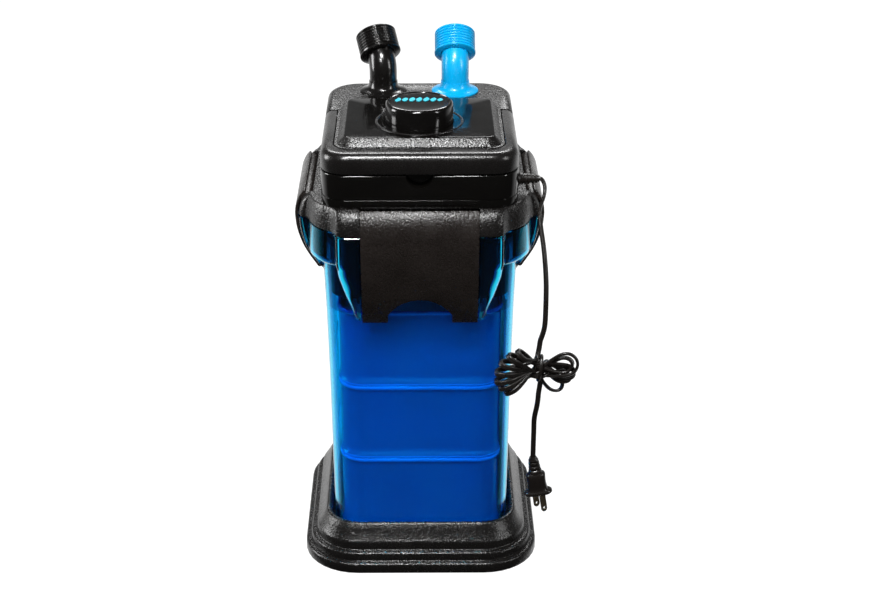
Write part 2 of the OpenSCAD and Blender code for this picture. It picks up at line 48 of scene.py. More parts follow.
# ---------- sizes and heights in millimetres, as in part.scad ----------
BASE_HALF, BASE_H = 116.5, 45.0
FLOOR_Z, PITCH, BASKET_HALF, BASKET_R = 31.0, 80.0, 80.0, 25.6  # baskets: underside, spacing
BODY_TOP, WALL, RIM_Z = 91.0, 3.0, 360.0  # canister: half width under the rim, wall, rim
EAR_REACH = 113.5
EAR_LOW, EAR_HALF = (267.0, 306.0), (77.0, 63.0)  # each is front/rear, then left/right
COLLAR_HALF, COLLAR_R = 104.0, 44.0
SHELL_HALF, SHELL_BORE, FOOT_Z = 100.0, 93.5, 383.5
BLOCK_HALF, BLOCK_FRONT, BLOCK_REAR = 90.5, -100.0, 116.0
LEDGE_Z, DECK_Z, PLATE_Z, KNOB_Z = 415.0, 435.0, 442.5, 462.0
KNOB_R, KNOB_Y = 31.5, -28.0
TAP_X, TAP_Y, TAP_LEAN, TAP_SPIN = 35.5, 85.0, 46.0, 18.0  # the black tap is turned by TAP_SPIN
TUBE_R, BORE_R, CORNER_Z = 13.5, 9.0, 462.6
NUT_START, NUT_H, NUT_R = 11.0, 24.0, 20.0
LATCH_Y, LATCH_Z, LATCH_HALF, GROOVE_R = 105.0, 376.0, 54.0, 9.4

# ---------- mesh tolerances ----------
MERGE, SLIVER = 1e-6, 1e-7  # metres
LEAST_R = 0.8


# ---------- small helpers ----------
def cosd(a):
    return math.cos(math.radians(a))


def sind(a):
    return math.sin(math.radians(a))


def look(v, table):
    """Straight-line reading of a table of (key, value) rows."""
    return float(np.interp(v, [t[0] for t in table], [t[1] for t in table]))


def plan(x, y0, y1, rf, rb, d=0.0, n=9):
    """Rounded rectangle from y0 to y1 and x to both sides, drawn in by d. Radii: front, rear."""
    out = []
    x, y0, y1 = x - d, y0 + d, y1 - d
    rf, rb = max(rf - d, LEAST_R), max(rb - d, LEAST_R)
    spots = [(x - rb, y1 - rb, rb), (rb - x, y1 - rb, rb),
             (rf - x, y0 + rf, rf), (x - rf, y0 + rf, rf)]
    for c, (cx, cy, r) in enumerate(spots):
        for i in range(n + 1):
            a = 90 * c + 90 * i / n
            out.append((cx + r * cosd(a), cy + r * sind(a)))
    return out


def square(h, r, d=0.0, n=9):
    return plan(h, -h, h, r, r, d, n)


QUARTERS = ((1, 0), (0, 1), (-1, 0), (0, -1))  # cosine and sine of the four quarter turns


def at_z(points, z):
    return [(p[0], p[1], z) for p in points]


def obj_from(name, verts, faces):
    """An object from points in millimetres, with coincident points merged."""
    me = bpy.data.meshes.new(name)
    me.from_pydata([tuple(c * MM for c in v) for v in verts], [], faces)
    me.validate()
    bm = bmesh.new()
    bm.from_mesh(me)
    bmesh.ops.remove_doubles(bm, verts=bm.verts, dist=MERGE)
    bmesh.ops.recalc_face_normals(bm, faces=bm.faces)
    bm.to_mesh(me)
    bm.free()
    ob = bpy.data.objects.new(name, me)
    bpy.context.scene.collection.objects.link(ob)
    return ob


def skin(name, rings, closed=False):
    """A surface over rings of equal length. An open one is capped with fans."""
    n, m = len(rings[0]), len(rings)
    verts = [p for r in rings for p in r]
    faces = []
    for i in range(m if closed else m - 1):
        k = (i + 1) % m
        for j in range(n):
            l = (j + 1) % n
            faces.append((i * n + j, i * n + l, k * n + l, k * n + j))
    if not closed:
        for r, base in ((rings[0], 0), (rings[-1], (m - 1) * n)):
            mid = len(verts)
            verts.append(tuple(sum(p[a] for p in r) / n for a in range(3)))
            faces += [(base + j, base + (j + 1) % n, mid) for j in range(n)]
    return obj_from(name, verts, faces)


def rounded(name, outline, z0, z1, top=1.0, bottom=1.0, steps=5):
    """An upright solid over outline(d), with its top and bottom edges rounded."""
    rings = []
    for i in range(steps + 1):
        a = 90 * i / steps
        rings.append(at_z(outline(bottom * (1 - sind(a))), z0 + bottom * (1 - cosd(a))))
    for i in range(steps + 1):
        a = 90 * i / steps
        rings.append(at_z(outline(top * (1 - cosd(a))), z1 - top * (1 - sind(a))))
    return skin(name, rings)


def lathe(name, profile, n=96):
    """A turned solid: a closed profile of (radius, height) about the z axis."""
    verts, faces = [], []
    m = len(profile)
    for i in range(n):
        a = 360 * i / n
        verts += [(r * cosd(a), r * sind(a), z) for r, z in profile]
    for i in range(n):
        k = (i + 1) % n
        for j in range(m):
            l = (j + 1) % m
            faces.append((i * m + j, k * m + j, k * m + l, i * m + l))
    return clean(obj_from(name, verts, faces))


def clean(ob):
    """Merges coincident points and removes the slivers on the axis."""
    bm = bmesh.new()
    bm.from_mesh(ob.data)
    bmesh.ops.remove_doubles(bm, verts=bm.verts, dist=MERGE)
    bmesh.ops.dissolve_degenerate(bm, edges=bm.edges, dist=SLIVER)
    bmesh.ops.recalc_face_normals(bm, faces=bm.faces)
    bm.to_mesh(ob.data)
    bm.free()
    return ob


def extruded(name, outline, half):
    """An outline in the (y, z) plane, drawn out to both sides along x."""
    n = len(outline)
    verts = [(-half, y, z) for y, z in outline] + [(half, y, z) for y, z in outline]
    faces = [(j, (j + 1) % n, n + (j + 1) % n, n + j) for j in range(n)]
    return obj_from(name, verts, faces + [tuple(range(n)), tuple(range(2 * n - 1, n - 1, -1))])


def moved(ob, matrix):
    ob.data.transform(matrix)
    return ob


def shift(x, y, z):
    return Matrix.Translation((x * MM, y * MM, z * MM))


def turn(angle, axis):
    return Matrix.Rotation(math.radians(angle), 4, axis)


def baked(ob):
    """Applies the object's modifiers to its mesh."""
    deps = bpy.context.evaluated_depsgraph_get()
    me = bpy.data.meshes.new_from_object(ob.evaluated_get(deps))
    ob.modifiers.clear()
    ob.data = me
    return ob


def combine(ob, tools, how="DIFFERENCE"):
    """Cuts ob by each tool, or joins or intersects them, and removes the tools."""
    for t in tools:
        mod = ob.modifiers.new("cut", "BOOLEAN")
        mod.operation, mod.object, mod.solver = how, t, "EXACT"
        baked(ob)
        bpy.data.objects.remove(t)
    return ob


def bevel(ob, width, segments=3, angle=40):
    mod = ob.modifiers.new("bevel", "BEVEL")
    mod.width, mod.segments, mod.limit_method = width * MM, segments, "ANGLE"
    mod.angle_limit = math.radians(angle)
    mod.miter_outer = "MITER_ARC"
    return baked(ob)


def joined(name, parts):
    """One object from several."""
    verts, faces = [], []
    for p in parts:
        base = len(verts)
        verts += [tuple(v.co) for v in p.data.vertices]
        faces += [tuple(base + i for i in f.vertices) for f in p.data.polygons]
        bpy.data.objects.remove(p)
    me = bpy.data.meshes.new(name)
    me.from_pydata(verts, [], faces)
    ob = bpy.data.objects.new(name, me)
    bpy.context.scene.collection.objects.link(ob)
    return ob


def piece(ob, material, body, nodes=(), angle=32):
    """Finishes a piece: shading, material, the body it rides on and what it replaces."""
    ob.data.shade_smooth()
    ob.data.set_sharp_from_angle(angle=math.radians(angle))
    ob.data.materials.clear()
    ob.data.materials.append(material)
    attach(ob, body)
    if nodes:
        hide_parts(*nodes)
    return ob


# ---------- materials ----------
PATCH_SHARE, GRAIN_SHARE = 0.6, 0.4  # parts of the tone that follow the patches and the grain
GLOSS_SPREAD, WAVE_SIZE = 0.15, 18.0


def shader(name):
    """A new node material: the material, its tree, its Principled shader and its output."""
    mat = bpy.data.materials.new(name)
    mat.use_nodes = True
    nt = mat.node_tree
    return mat, nt, nt.nodes["Principled BSDF"], nt.nodes["Material Output"]


def add(nt, kind, **values):
    node = nt.nodes.new(kind)
    for key, value in values.items():
        setattr(node, key, value)
    return node


def noise_at(nt, size, detail=2.0, rough=0.5):
    """A noise texture whose grains are about size millimetres across."""
    tc = add(nt, "ShaderNodeTexCoord")
    tex = add(nt, "ShaderNodeTexNoise")
    tex.inputs["Scale"].default_value = 1.0 / (size * MM)
    tex.inputs["Detail"].default_value = detail
    tex.inputs["Roughness"].default_value = rough
    nt.links.new(tc.outputs["Object"], tex.inputs["Vector"])
    return tex


def ramp(nt, source, low, high, start=0.3, end=0.7):
    """Maps start..end of the source to low..high."""
    node = add(nt, "ShaderNodeMapRange")
    node.inputs["From Min"].default_value = start
    node.inputs["From Max"].default_value = end
    node.inputs["To Min"].default_value = low
    node.inputs["To Max"].default_value = high
    nt.links.new(source, node.inputs["Value"])
    return node.outputs["Result"]


def maths(nt, how, first, second):
    """A math node over two sources. Gives its output."""
    node = add(nt, "ShaderNodeMath", operation=how)
    nt.links.new(first, node.inputs[0])
    nt.links.new(second, node.inputs[1])
    return node.outputs[0]


def tint(nt, source, dark, light):
    """A colour between dark and light."""
    mix = add(nt, "ShaderNodeMix", data_type="RGBA")
    mix.inputs["A"].default_value = dark
    mix.inputs["B"].default_value = light
    nt.links.new(source, mix.inputs["Factor"])
    return mix.outputs["Result"]


def bumped(nt, tex, strength, depth):
    """A bump node over the texture, with its depth in mm."""
    bump = add(nt, "ShaderNodeBump")
    bump.inputs["Strength"].default_value = strength
    bump.inputs["Distance"].default_value = depth * MM
    nt.links.new(tex.outputs["Fac"], bump.inputs["Height"])
    return bump


def scaled(colour, factor):
    """The colour times a factor, at most 1, with full alpha."""
    return tuple(min(1.0, c * factor) for c in colour[:3]) + (1.0,)


def plastic(name, colour, rough, grain=0.0, size=1.0, vary=0.12, patch=25.0, metal=0.0, wave=0.0):
    """Moulded material: grain bump of the given depth and size in mm, patches of slightly other
    tone and gloss, and long waves of the given depth."""
    mat, nt, bsdf, _ = shader(name)
    big = noise_at(nt, patch, 3.0)
    fine = noise_at(nt, size, 2.0, 0.6)
    big_fac, fine_fac = big.outputs["Fac"], fine.outputs["Fac"]
    blend = maths(nt, "ADD", ramp(nt, big_fac, 0.0, PATCH_SHARE), ramp(nt, fine_fac, 0.0, GRAIN_SHARE))
    tone = tint(nt, blend, scaled(colour, 1 - vary), scaled(colour, 1 + vary))
    nt.links.new(tone, bsdf.inputs["Base Color"])
    patches = ramp(nt, big_fac, 1 - GLOSS_SPREAD, 1 + GLOSS_SPREAD)
    grains = ramp(nt, fine_fac, rough * (1 - vary), rough * (1 + vary))
    nt.links.new(maths(nt, "MULTIPLY", patches, grains), bsdf.inputs["Roughness"])
    bsdf.inputs["Metallic"].default_value = metal
    last = None
    for depth, tex in ((grain, fine), (wave, noise_at(nt, WAVE_SIZE, 1.0) if wave else None)):
        if depth:
            bump = bumped(nt, tex, 1.0, depth)
            if last:
                nt.links.new(last, bump.inputs["Normal"])
            last = bump.outputs["Normal"]
    if last:
        nt.links.new(last, bsdf.inputs["Normal"])
    return mat


GLASS_PATCH, GLASS_DEEPER, GLASS_WAVE, GLASS_STRENGTH = 60.0, 1.15, 0.4, 0.25


def clear(name, colour, ior=1.49, rough=0.015):
    """Clear tinted plastic; light on its way to a lamp passes straight through, tinted."""
    mat, nt, bsdf, out = shader(name)
    big = noise_at(nt, GLASS_PATCH, 1.0)
    deep = tuple(c ** GLASS_DEEPER for c in colour[:3]) + (1.0,)
    tone = tint(nt, ramp(nt, big.outputs["Fac"], 0.0, 1.0), deep, colour)
    nt.links.new(tone, bsdf.inputs["Base Color"])
    nt.links.new(ramp(nt, big.outputs["Fac"], rough, rough * 2), bsdf.inputs["Roughness"])
    bsdf.inputs["Transmission Weight"].default_value = 1.0
    bsdf.inputs["IOR"].default_value = ior
    bump = bumped(nt, big, GLASS_STRENGTH, GLASS_WAVE)
    nt.links.new(bump.outputs["Normal"], bsdf.inputs["Normal"])
    path = add(nt, "ShaderNodeLightPath")
    see = add(nt, "ShaderNodeBsdfTransparent")
    nt.links.new(tone, see.inputs["Color"])
    mix = add(nt, "ShaderNodeMixShader")
    nt.links.new(path.outputs["Is Shadow Ray"], mix.inputs[0])
    nt.links.new(bsdf.outputs[0], mix.inputs[1])
    nt.links.new(see.outputs[0], mix.inputs[2])
    nt.links.new(mix.outputs[0], out.inputs["Surface"])
    return mat


# name: linear colour, roughness, and the grain and tone that plastic() takes
PLASTICS = {
    "textured_black": ((0.0058, 0.0052, 0.005), 0.27, dict(grain=0.55, size=2.0, vary=0.25)),
    "base_black": ((0.0052, 0.0047, 0.0045), 0.25, dict(grain=0.5, size=1.9, vary=0.22)),
    "latch_black": ((0.0105, 0.0082, 0.0072), 0.3, dict(grain=0.6, size=1.9, vary=0.3)),
    "gloss_black": ((0.0022, 0.002, 0.0018), 0.12, dict(grain=0.008, size=4.0, wave=0.02)),
    "satin_black": ((0.0055, 0.0049, 0.0047), 0.27, dict(grain=0.09, size=1.6)),
    "knob_black": ((0.0028, 0.0025, 0.0024), 0.13, dict(grain=0.01, size=2.5)),
    "inner_black": ((0.009, 0.0085, 0.0085), 0.4, dict(grain=0.04, size=1.4)),
    "tap_black": ((0.004, 0.0036, 0.0034), 0.2, dict(grain=0.008, size=2.0)),
    "tap_blue": ((0.0005, 0.33, 0.66), 0.26, dict(grain=0.006, size=3.0, vary=0.03)),
    "badge": ((0.004, 0.43, 0.56), 0.3, dict(grain=0.01, size=1.0, vary=0.06)),
    "deep_blue": ((0.0004, 0.076, 0.2), 0.2,
                  dict(grain=0.008, size=2.2, vary=0.1, patch=70.0, wave=0.05)),
    # a lighter copy of the basket blue: painted highlight on the baskets' rims and feet
    "rim_blue_painted_highlight": ((0.001, 0.17, 0.45), 0.16, dict(grain=0.008, size=2.2, vary=0.06, patch=60.0)),
    "steel": ((0.56, 0.57, 0.58), 0.28, dict(grain=0.006, size=0.6, metal=1.0, vary=0.05)),
    "brass": ((0.45, 0.37, 0.25), 0.3, dict(grain=0.008, size=0.5, metal=1.0, vary=0.1)),
    "copper": ((0.55, 0.24, 0.12), 0.35, dict(grain=0.05, size=0.5, metal=1.0, vary=0.15)),
    "magnet": ((0.06, 0.06, 0.065), 0.45, dict(grain=0.02, size=0.8, metal=0.6)),
    "white_plastic": ((0.72, 0.72, 0.68), 0.35, dict(grain=0.01, size=2.0, vary=0.03)),
    "ceramic": ((0.62, 0.56, 0.46), 0.85, dict(grain=0.5, size=1.6, vary=0.12, patch=9.0)),
    "foam": ((0.012, 0.02, 0.032), 0.95, dict(grain=1.6, size=1.8, vary=0.35)),
    "carbon": ((0.016, 0.016, 0.017), 0.6, dict(grain=1.4, size=2.6, vary=0.35)),
    "floss": ((0.72, 0.72, 0.69), 0.95, dict(grain=1.0, size=1.4, vary=0.08)),
    "cord_black": ((0.0075, 0.006, 0.0052), 0.3, dict(grain=0.02, size=1.2)),
}
# the second clear is a deeper copy of the clear blue: painted shade on the canister's upper inner skin
# and its ears
GLASSES = {"clear_blue": (0.02, 0.68, 0.98, 1.0), "clear_painted_shade": (0.004, 0.16, 0.42, 1.0)}
M = {name: plastic(name, colour, rough, **more) for name, (colour, rough, more) in PLASTICS.items()}
M.update({name: clear(name, colour) for name, colour in GLASSES.items()})

# ---------- camera ----------
FRAME_W, FOCAL_PX, SHIFT_PX = 872.0, 1709.0, (16.0, 1.0)  # in the photo's pixels
CAM_PLACE, CAM_TILT, CAM_ROLL = (0.0, -1.541, 0.963), 65.0, -0.2
SENSOR = 36.0

scene = bpy.context.scene
cam = bpy.data.objects.new("camera", bpy.data.cameras.new("camera"))
scene.collection.objects.link(cam)
cam.location = CAM_PLACE
cam.rotation_mode = "QUATERNION"
cam.rotation_quaternion = (turn(CAM_TILT, "X") @ turn(CAM_ROLL, "Z")).to_quaternion()
cam.data.sensor_width = SENSOR
cam.data.lens = SENSOR * FOCAL_PX / FRAME_W
cam.data.shift_x, cam.data.shift_y = (px / FRAME_W for px in SHIFT_PX)
cam.data.clip_end = 50
scene.camera = cam

# ---------- cord ----------
# the two hanging runs, with the points of part.scad
UPPER = [(111, -60, 397), (113, -60, 397), (116, -63, 391), (115, -68, 382), (111, -72, 370),
         (112, -79, 357), (115, -89, 336), (117, -97, 310), (117, -103, 285), (116, -107, 266),
         (112, -109, 253), (112, -109, 250)]
LOWER = [(112, -109, 198), (112, -109, 195), (111, -108, 184), (109, -106, 170),
         (109, -104, 155), (109, -103, 140), (109, -103, 125)]
TIE = np.array([112.5, -110.0, 226.0])
CORD_W, CORD_T, CORD_STEP = 5.0, 3.3, 1.6
RELAX = 4  # rounds of easing along the whole route
LEVELS, LEVEL_STEP, LEVEL_GAP, SLOT_Y = 7, 3, 3.0, 2.9  # places of the passes inside the tie
LEFT_LEAN, LEFT_Y, RIGHT_GAP = -0.32, -4.5, 2.3
SPREAD = 1.6  # how soon a loop leaves its pass for the loop's own middle
# each loop: its angle above level, its reach and its half width
LEFT = [(48, 34, 6.5), (34, 38, 7.0), (20, 41, 7.5), (6, 43, 7.5), (-7, 43, 7.5), (-18, 41, 7.0),
        (-29, 38, 6.5)]
RIGHT = [(16, 36, 11.0), (12, 31, 7.5), (-6, 33, 6.5), (-14, 34, 6.5), (-26, 32, 6.0),
         (-52, 33, 7.5), (2, 32, 6.5)]
# half a loop from the tie to its end: shares of the reach, the half width and the twist
LOOP = ((0.16, 0.30, 0.15), (0.42, 0.75, 0.7), (0.68, 1.0, 1.0), (0.86, 0.86, 1.0),
        (0.97, 0.45, 1.0), (1.0, 0.0, 1.0))


def smooth_line(points, gap):
    """Catmull-Rom curve through the points, with samples about gap apart."""
    p = np.array(points, float)
    out = []
    for i in range(len(p) - 1):
        a, b, c, d = p[max(i - 1, 0)], p[i], p[i + 1], p[min(i + 2, len(p) - 1)]
        n = max(2, int(np.linalg.norm(c[:3] - b[:3]) / gap))
        for k in range(n):
            t = k / n
            curve = (2 * a - 5 * b + 4 * c - d) * t * t + (3 * b - a - 3 * c + d) * t ** 3
            out.append(0.5 * (2 * b + (c - a) * t + curve))
    out.append(p[-1])
    return np.array(out)


def tie_pass(step):
    """Where the cord goes through the tie before the given half loop."""
    side = -SLOT_Y if step % 2 else SLOT_Y
    level = LEVELS // 2 - step * LEVEL_STEP % LEVELS
    return TIE + np.array([0, side, level * LEVEL_GAP])


def hank():
    """The hank: the cord goes left and right through the tie in turn. Rows are point and wide
    direction."""
    rows = []
    flat = np.array([0, -1.0, 0.15])
    for step in range(2 * len(LEFT)):
        k = step // 2
        if step % 2 == 0:
            ang, reach, half = LEFT[k]
            out = np.array([-cosd(ang), LEFT_LEAN, sind(ang)])
            across = np.array([0, -1.0, 0])
            wide = np.array([sind(ang), 0, cosd(ang)])
            middle = TIE + np.array([0, LEFT_Y, 0])
        else:
            ang, reach, half = RIGHT[k]
            out = np.array([cosd(ang), 0, sind(ang)])
            across = np.array([-sind(ang), 0.1, cosd(ang)]) * (1 if k % 2 == 0 else -1)
            wide = np.array([0, -0.8, 0]) + 0.6 * np.array([-sind(ang), 0, cosd(ang)])
            middle = TIE + np.array([0, (k - len(RIGHT) // 2) * RIGHT_GAP, 0])
        start, end = tie_pass(step), tie_pass(step + 1)
        half_loops = [(start, s, w, q) for s, w, q in LOOP]
        half_loops += [(end, s, -w, q) for s, w, q in LOOP[-2::-1]]
        for foot, s, w, q in half_loops:
            near = min(1, s * SPREAD)
            p = foot * (1 - near) + middle * near + out * reach * s + across * half * w
            rows.append(np.concatenate([p, flat * (1 - q) + wide * q]))
        rows.append(np.concatenate([end, flat]))
    return rows[:-1]


def wide_rows(points, first, last):
    """The points with a wide direction each, which turns from first to last."""
    first, last, n = np.array(first), np.array(last), len(points) - 1
    return [np.concatenate([np.array(p, float), first * (1 - i / n) + last * i / n])
            for i, p in enumerate(points)]


def twin_section(n=20):
    """Flat twin cord: two rounded cores side by side, with a groove between them."""
    groove_w, groove_depth, squareness = 0.75, 0.30, 0.62
    out = []
    for i in range(n):
        a = 2 * math.pi * i / n
        x = CORD_W / 2 * math.cos(a)
        neck = 1 - groove_depth * math.exp(-((x / groove_w) ** 2))
        edge = math.copysign(abs(math.sin(a)) ** squareness, math.sin(a))
        out.append((x, CORD_T / 2 * edge * neck))
    return out


def sweep(name, rows, section, follow=0.45):
    """A tube along rows of point and wide direction, which each ring takes up by a share."""
    line = rows[:, :3]
    tang = np.gradient(line, axis=0)
    tang /= np.linalg.norm(tang, axis=1)[:, None]
    rings, last = [], None
    for p, t, w in zip(line, tang, rows[:, 3:]):
        w = w - t * np.dot(w, t)
        w = w / np.linalg.norm(w)
        if last is not None:
            w = w if np.dot(w, last) >= 0 else -w
            w = w * follow + last * (1 - follow)
            w = w - t * np.dot(w, t)
            w /= np.linalg.norm(w)
        last = w
        b = np.cross(t, w)
        rings.append([tuple(p + w * x + b * y) for x, y in section])
    return skin(name, rings)


route = wide_rows(UPPER, (0, 1, 0.2), (1, 0.1, 0)) + hank() + wide_rows(LOWER, (1, 0, 0), (1, 0.2, 0))
rows = smooth_line(route, CORD_STEP)
for _ in range(RELAX):  # the bends ease, and the ends stay where they are
    rows[1:-1] = rows[1:-1] * 0.5 + (rows[:-2] + rows[2:]) * 0.25
cord = piece(sweep("mains_cord", rows, twin_section()), M["cord_black"], "pump_head",
             ("cord_upper", "cord_hank", "cord_lower"), angle=80)

# the wire tie round the hank: an oval ring, flat in section
RING_TILT, RING_BACK, RING_Y, RING_Z, RING_W, RING_T = 1.6, 0.3, 9.6, 13.0, 1.5, 0.7
ring = [np.array((TIE[0] + RING_TILT * sind(a), TIE[1] - RING_BACK - RING_Y * cosd(a),
                  TIE[2] + RING_Z * sind(a))) for a in range(0, 360, 8)]
across = np.array((1.0, 0, 0))
tie_rings = []
for i, p in enumerate(ring):
    q, o = ring[(i + 1) % len(ring)], ring[i - 1]
    t = (q - o) / np.linalg.norm(q - o)
    u = np.cross(t, across)
    u /= np.linalg.norm(u)
    tie_rings.append([tuple(p + across * RING_W * cosd(b) + u * RING_T * sind(b))
                      for b in range(0, 360, 36)])
tie = piece(skin("cord_tie_strap", tie_rings, closed=True), M["cord_black"], "pump_head",
            ("cord_tie",))

# plug: ribbed strain relief, body with finger wings, two drilled blades
# each ring of the body: its height and its half sizes
PLUG = [(125.5, 3.3, 3.0), (123.4, 4.2, 3.7), (122.2, 4.9, 4.2), (121.5, 3.9, 3.4), (120.2, 3.9, 3.4),
        (119.6, 5.2, 4.5), (117.9, 5.4, 4.6), (117.2, 4.2, 3.6), (115.9, 4.2, 3.6), (115.2, 5.6, 4.8),
        (113.6, 5.8, 5.0), (112.9, 4.7, 4.0), (111.6, 4.7, 4.0), (110.9, 6.2, 5.2), (108.9, 6.6, 5.6),
        (108.0, 6.2, 5.4), (107.0, 8.6, 6.0), (105.5, 9.4, 6.4), (102.5, 9.2, 6.6), (97.5, 8.9, 6.5),
        (92.5, 9.3, 6.3), (88.8, 9.8, 6.3), (87.8, 12.2, 7.0), (86.8, 13.6, 7.4), (85.3, 13.8, 7.5),
        (84.4, 13.0, 7.1), (84.0, 11.6, 6.3)]
PLUG_LEAN, BLADE_TURN = 9, -58
PLUG_FACE, BLADE_GAP, BLADE_LONG, BLADE_R, BLADE_T = 84, 6.35, 18, 3.15, 0.75
HOLE_R, HOLE_Z = 1.35, -13.8


def oval(a, b, z, power=2.6, n=40):
    """A superellipse with half sizes a and b."""
    out = []
    for i in range(n):
        c, s = cosd(360 * i / n), sind(360 * i / n)
        x, y = (math.copysign(abs(v) ** (2 / power), v) for v in (c, s))
        out.append((x * a, y * b, z))
    return out


hang = shift(*LOWER[-1]) @ turn(-PLUG_LEAN, "Y") @ shift(0, 0, -LOWER[-1][2])
plug = moved(skin("mains_plug", [oval(a, b, z) for z, a, b in PLUG]), hang)
piece(plug, M["cord_black"], "pump_head", ("plug_body",), angle=50)
blades = []
for s in (-1, 1):
    outline = [(BLADE_R * cosd(a), BLADE_R - BLADE_LONG + BLADE_R * sind(a))
               for a in range(180, 361, 20)]
    blade = extruded("blade", outline + [(BLADE_R, 0.5), (-BLADE_R, 0.5)], BLADE_T)
    hole = [(HOLE_R * cosd(a), HOLE_Z + HOLE_R * sind(a)) for a in range(0, 360, 20)]
    combine(blade, [extruded("hole", hole, 3)])
    blades.append(moved(blade, hang @ turn(BLADE_TURN, "Z") @ shift(s * BLADE_GAP, 0, PLUG_FACE)))
plug_blades = piece(joined("plug_blades_drilled", blades), M["brass"], "pump_head",
                    ("plug_blades",))

# gland: a collar on the block and a boot with five ribs
GLAND_RIBS, RIB_PITCH, RIB_TAPER = 5, 3.4, 0.3
GLAND_RIB = ((5.3, 3), (5.2, 5), (4.4, 5.3), (4.3, 6.2))
GLAND = [(0.01, -5), (5, -5), (5, 0.2), (7.4, 0.2), (7.6, 0.8), (7.2, 1.8), (5.6, 2.2)]
for i in range(GLAND_RIBS):
    GLAND += [(r - RIB_TAPER * i, z + RIB_PITCH * i) for r, z in GLAND_RIB]
GLAND += [(3.3, 20.4), (0.01, 20.4)]
gland = lathe("cord_gland_boot", GLAND, 48)
moved(gland, shift(BLOCK_HALF, *UPPER[0][1:]) @ turn(90, "Y"))
piece(gland, M["cord_black"], "pump_head", ("cord_gland",))

# ---------- base: insets, corner radii and heights of its steps ----------
BASE = [(1.2, 53, 0), (0.3, 54, 0.6), (0, 54, 1.8), (0.1, 54, 8.6), (0.5, 53.7, 9.9), (1.3, 53, 10.7),
        (2.4, 52, 11.1), (4.4, 50.4, 11.3), (5.0, 50, 11.5), (5.4, 49.5, 12.2), (5.5, 49, 13.0),
        (5.7, 48.8, 17.8), (6.1, 48.4, 19.0), (6.9, 47.6, 19.8), (8.0, 46.6, 20.2), (10.4, 44.6, 20.4),
        (11.0, 44, 20.6), (11.4, 43.6, 21.3), (11.5, 43.4, 22.2), (11.8, 43, 27.6), (12.2, 42.4, 28.9),
        (13.2, 41.5, 30.1), (14.8, 40, 32.3), (18.4, 36.5, 38.8), (21.2, 34.4, 43.8),
        (22.2, 33.8, 44.9), (23.6, 33.2, 45.2), (25.0, 32.4, 44.8), (27.2, 31, 42), (28.0, 30, 39)]
BASE_WELL = [(28.0, 30, 4), (29.5, 29, 4)]
rings = [at_z(square(BASE_HALF - d, r), z) for d, r, z in BASE + BASE_WELL]
piece(skin("stepped_base", rings), M["base_black"], "canister", ("base_stand",),
      angle=42)


# ---------- clear canister with its ears ----------
BODY = [(4, 85.5), (BASE_H, 86.5), (190, 88), (265, 89.5), (312, BODY_TOP), (355, BODY_TOP)]
BODY_R = 30
# the corners swell out to the collar between two heights, through a (height, half width)
COLLAR_RISE, COLLAR_BEND, COLLAR_TOP = 321, (325, 99), 329
EAR_SPAN = ([(EAR_LOW[0], 58), (293, 68), (317, 75), (331, EAR_HALF[0])],
            [(EAR_LOW[1], 58), (313, 60), (322, 62), (331, EAR_HALF[1])])
EAR_CURVE = (0.5, 0.9)
EAR_ROUND, EAR_GROWTH, EAR_BLEND = (2.4, 9), 18, 14
EAR_STEPS, EAR_LEAST = 8, 3.4
NOTCH_CLEAR, NOTCH_SLOPE, WALL_MIN, WALL_POINT = 0.6, 0.8, 1.0, 40.0
TOUCH = 0.01  # an ear that stands out less than this is no ear


def reach_at(z, kind):
    """How far the ear of a front/rear (0) or side (1) wall stands out."""
    low = EAR_LOW[kind]
    if z <= low:
        return 0.0
    share = max(0, 1 - ((RIM_Z - z) / (RIM_Z - low)) ** 2) ** EAR_CURVE[kind]
    return BODY_TOP + (EAR_REACH - BODY_TOP) * share


def corner_start(h, c, r):
    """Where on a corner of radius r the wall ends, if the wall reaches h along it: an angle."""
    return math.degrees(math.asin(max(0, min(1, (h - c + r) / r))))


def half_wall(z, inset, kind, w, c):
    """Half of one wall of half width w, from its middle to its ear's end, with corners out to c.
    Gives the points and where the ear ends."""
    e = max(reach_at(z - inset, kind), w + inset)
    h = look(z, EAR_SPAN[kind])
    q = look(z, [(EAR_LOW[kind], EAR_ROUND[0]), (EAR_LOW[kind] + EAR_GROWTH, EAR_ROUND[1])])
    if e > w + inset + TOUCH:
        e, h = max(e - inset, w), h - inset
    else:
        e = w
    cut = LATCH_HALF + NOTCH_CLEAR + inset
    h = max(h, cut + EAR_LEAST)
    q = min(q, h - cut - WALL_MIN)
    d = q * max(0, min(1, (e - c) / EAR_BLEND))
    angles = [90 * i / EAR_STEPS for i in range(EAR_STEPS + 1)]
    half = [(e - d * (1 - cosd(a)), h - q * (1 - sind(a))) for a in angles]
    return [(w, WALL_POINT), (w, cut), (e, cut + NOTCH_SLOPE)] + half, h


def canister_plan(z, inset, bends=13):
    """The canister's outline at z, drawn in by inset: four walls with their ears."""
    w = look(z, BODY)
    ear = z > EAR_LOW[0]
    c = look(z, [(COLLAR_RISE, w), COLLAR_BEND, (COLLAR_TOP, COLLAR_HALF)]) if ear else w
    r = look(z, [(COLLAR_RISE, BODY_R), (COLLAR_TOP, COLLAR_R)]) if ear else BODY_R
    w, c, r = w - inset, c - inset, r - inset
    walls = [half_wall(z, inset, kind, w, c) for kind in (0, 1)]
    out = []
    for k, (ca, sa) in enumerate(QUARTERS):
        (first, h0), (last, h1) = walls[(k + 1) % 2], walls[k % 2]
        a0, a1 = (corner_start(h, c, r) for h in (h0, h1))
        bend = [a0 + (90 - a1 - a0) * (i + 0.5) / bends for i in range(bends)]
        pts = first + [(c - r + r * cosd(a), c - r + r * sind(a)) for a in bend]
        pts += [(y, x) for x, y in last[::-1]]
        out += [(x * ca - y * sa, x * sa + y * ca) for x, y in pts]
    return out


